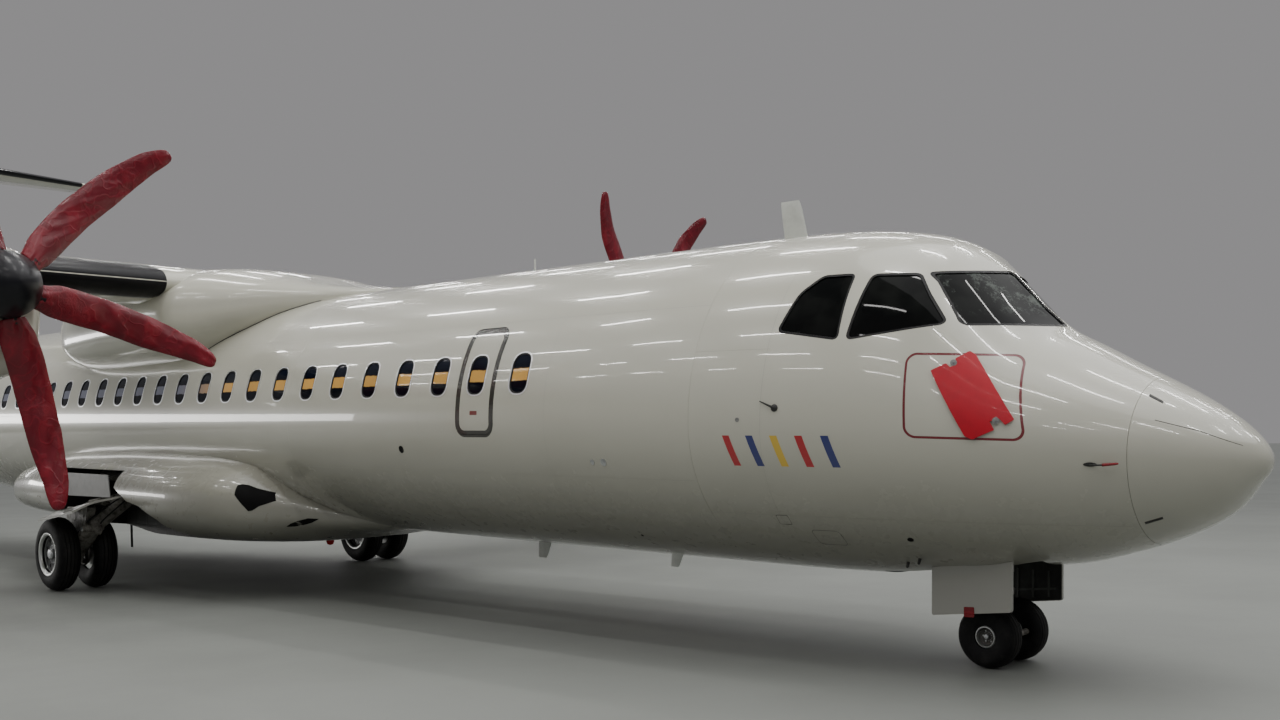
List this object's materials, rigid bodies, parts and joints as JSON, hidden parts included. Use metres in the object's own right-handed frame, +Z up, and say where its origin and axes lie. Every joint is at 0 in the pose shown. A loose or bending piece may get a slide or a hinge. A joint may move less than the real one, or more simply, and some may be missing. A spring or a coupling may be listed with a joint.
{
  "type": "turboprop airliner",
  "caption": "High-wing regional airliner on its landing gear, with turboprop engines, covered propeller blades, hinged cabin doors, flaps, a T-tail and moving control surfaces.",
  "frame": {"origin": "on the ground, under the middle of the aircraft's length and on its centre line", "axes": "+X forwards along the ground, +Y to port, +Z up"},
  "size_m": [27.0497, 27.05, 7.6376],
  "materials": {
    "white_paint": "gloss aircraft paint",
    "black_paint": "satin black spinner",
    "cockpit_glass": "dark laminated glass",
    "engine_metal": "plain dark metal",
    "gear_metal": "weathered grey casting",
    "rim_paint": "light grey paint",
    "tyre_rubber": "worn black rubber",
    "blade_composite": "dark composite",
    "cover_fabric": "wrinkled dark red coated cloth",
    "boot_rubber": "black de-icing boot"
  },
  "bodies": {
    "airframe": {"radome": "white_paint", "windshield_left": "cockpit_glass", "windshield_right": "cockpit_glass", "side_window_left": "cockpit_glass", "side_window_right": "cockpit_glass", "rear_side_window_left": "cockpit_glass", "rear_side_window_right": "cockpit_glass", "fuselage_nose": "white_paint", "fuselage_front": "white_paint", "fuselage_centre": "white_paint", "fuselage_rear": "white_paint", "emergency_exit_left": "white_paint", "emergency_exit_right": "white_paint", "service_door": "white_paint", "wing_centre": "white_paint", "outer_wing_left": "white_paint", "outer_wing_right": "white_paint", "wing_fairing": "white_paint", "belly_fairing_left": "white_paint", "belly_fairing_right": "white_paint", "engine_block_left": "engine_metal", "engine_block_right": "engine_metal", "nacelle_left": "white_paint", "nacelle_right": "white_paint", "fin": "white_paint", "stabilizer": "white_paint", "main_leg_left": "gear_metal", "main_leg_right": "gear_metal", "main_gear_door_left": "white_paint", "main_gear_door_right": "white_paint", "nose_leg": "gear_metal", "nose_gear_door_left": "white_paint", "nose_gear_door_right": "white_paint"},
    "freight_door": {"cargo_door": "white_paint"},
    "entry_door": {"passenger_door": "white_paint"},
    "inner_flap_left": {"inner_flap_left": "white_paint"},
    "inner_flap_right": {"inner_flap_right": "white_paint"},
    "outer_flap_left": {"outer_flap_left": "white_paint"},
    "outer_flap_right": {"outer_flap_right": "white_paint"},
    "aileron_left": {"aileron_left": "white_paint"},
    "aileron_right": {"aileron_right": "white_paint"},
    "rudder": {"rudder": "white_paint"},
    "elevator_left": {"elevator_left": "white_paint"},
    "elevator_right": {"elevator_right": "white_paint"},
    "left_propeller": {"propeller_left": "blade_composite", "spinner_left": "black_paint"},
    "right_propeller": {"propeller_right": "blade_composite", "spinner_right": "black_paint"},
    "left_main_wheels": {"left_main_wheel_rims": "rim_paint", "left_main_tyre_port": "tyre_rubber", "left_main_tyre_starboard": "tyre_rubber"},
    "right_main_wheels": {"right_main_wheel_rims": "rim_paint", "right_main_tyre_port": "tyre_rubber", "right_main_tyre_starboard": "tyre_rubber"},
    "nose_steering": {"nose_fork": "gear_metal"},
    "nose_wheels": {"nose_wheel_rims": "rim_paint", "nose_tyre_port": "tyre_rubber", "nose_tyre_starboard": "tyre_rubber"}
  },
  "joints": [
    {"name": "freight_door_hinge", "type": "hinge", "parent": "airframe", "child": "freight_door", "pos_m": [8.56251, 1.08074, 2.70501], "axis": [0.9993, -0.0321, -0.0198], "range_deg": [0, 100]},
    {"name": "entry_door_hinge", "type": "hinge", "parent": "airframe", "child": "entry_door", "pos_m": [-6.90334, 1.06891, 1.55065], "axis": [-0.9933, -0.1135, 0.0196], "range_deg": [0, 115]},
    {"name": "inner_flap_left_hinge", "type": "hinge", "parent": "airframe", "child": "inner_flap_left", "pos_m": [0.55032, 1.68, 3.21541], "axis": [0, -1, 0], "range_deg": [0, 35]},
    {"name": "inner_flap_right_hinge", "type": "hinge", "parent": "airframe", "child": "inner_flap_right", "pos_m": [0.55032, -1.68, 3.21541], "axis": [0, -1, 0], "range_deg": [0, 35]},
    {"name": "outer_flap_left_hinge", "type": "hinge", "parent": "airframe", "child": "outer_flap_left", "pos_m": [0.55269, 4.69338, 3.21924], "axis": [-0.0295, -0.9986, -0.044], "range_deg": [0, 35]},
    {"name": "outer_flap_right_hinge", "type": "hinge", "parent": "airframe", "child": "outer_flap_right", "pos_m": [0.55269, -4.69338, 3.21924], "axis": [0.0295, -0.9986, 0.044], "range_deg": [0, 35]},
    {"name": "aileron_left_hinge", "type": "hinge", "parent": "airframe", "child": "aileron_left", "pos_m": [0.6578, 9.42, 3.72568], "axis": [-0.0317, -0.9985, -0.0441], "range_deg": [-20, 20]},
    {"name": "aileron_right_hinge", "type": "hinge", "parent": "airframe", "child": "aileron_right", "pos_m": [0.6578, -9.42, 3.72568], "axis": [0.0317, -0.9985, 0.0441], "range_deg": [-20, 20]},
    {"name": "rudder_hinge", "type": "hinge", "parent": "airframe", "child": "rudder", "pos_m": [-10.99437, 0, 4.06705], "axis": [-0.3207, 0, 0.9472], "range_deg": [-27, 27]},
    {"name": "elevator_left_hinge", "type": "hinge", "parent": "airframe", "child": "elevator_left", "pos_m": [-12.91605, 0.15, 7.54074], "axis": [0, 1, 0], "range_deg": [-15, 25]},
    {"name": "elevator_right_hinge", "type": "hinge", "parent": "airframe", "child": "elevator_right", "pos_m": [-12.91605, -0.15, 7.54074], "axis": [0, 1, 0], "range_deg": [-15, 25]},
    {"name": "left_propeller_shaft", "type": "hinge", "parent": "airframe", "child": "left_propeller", "pos_m": [4.5745, 4.05, 3.04695], "axis": [0.9998, 0, -0.0198], "continuous": true},
    {"name": "right_propeller_shaft", "type": "hinge", "parent": "airframe", "child": "right_propeller", "pos_m": [4.5745, -4.05, 3.04695], "axis": [0.9998, 0, -0.0198], "continuous": true},
    {"name": "left_main_axle", "type": "hinge", "parent": "airframe", "child": "left_main_wheels", "pos_m": [0.956, 2.05, 0.4283], "axis": [0, 1, 0], "continuous": true},
    {"name": "right_main_axle", "type": "hinge", "parent": "airframe", "child": "right_main_wheels", "pos_m": [0.956, -2.05, 0.4283], "axis": [0, 1, 0], "continuous": true},
    {"name": "nose_steering_pivot", "type": "hinge", "parent": "airframe", "child": "nose_steering", "pos_m": [11.72405, 0, 0.22308], "axis": [0.0198, 0, 0.9998], "range_deg": [-60, 60]},
    {"name": "nose_axle", "type": "hinge", "parent": "nose_steering", "child": "nose_wheels", "pos_m": [11.72405, 0, 0.22308], "axis": [0, 1, 0], "continuous": true}
  ],
  "couplings": [
    {"joint": "inner_flap_right_hinge", "follows": "inner_flap_left_hinge", "ratio": 1},
    {"joint": "outer_flap_left_hinge", "follows": "inner_flap_left_hinge", "ratio": 1},
    {"joint": "outer_flap_right_hinge", "follows": "inner_flap_left_hinge", "ratio": 1},
    {"joint": "aileron_right_hinge", "follows": "aileron_left_hinge", "ratio": -1},
    {"joint": "elevator_right_hinge", "follows": "elevator_left_hinge", "ratio": 1}
  ]
}
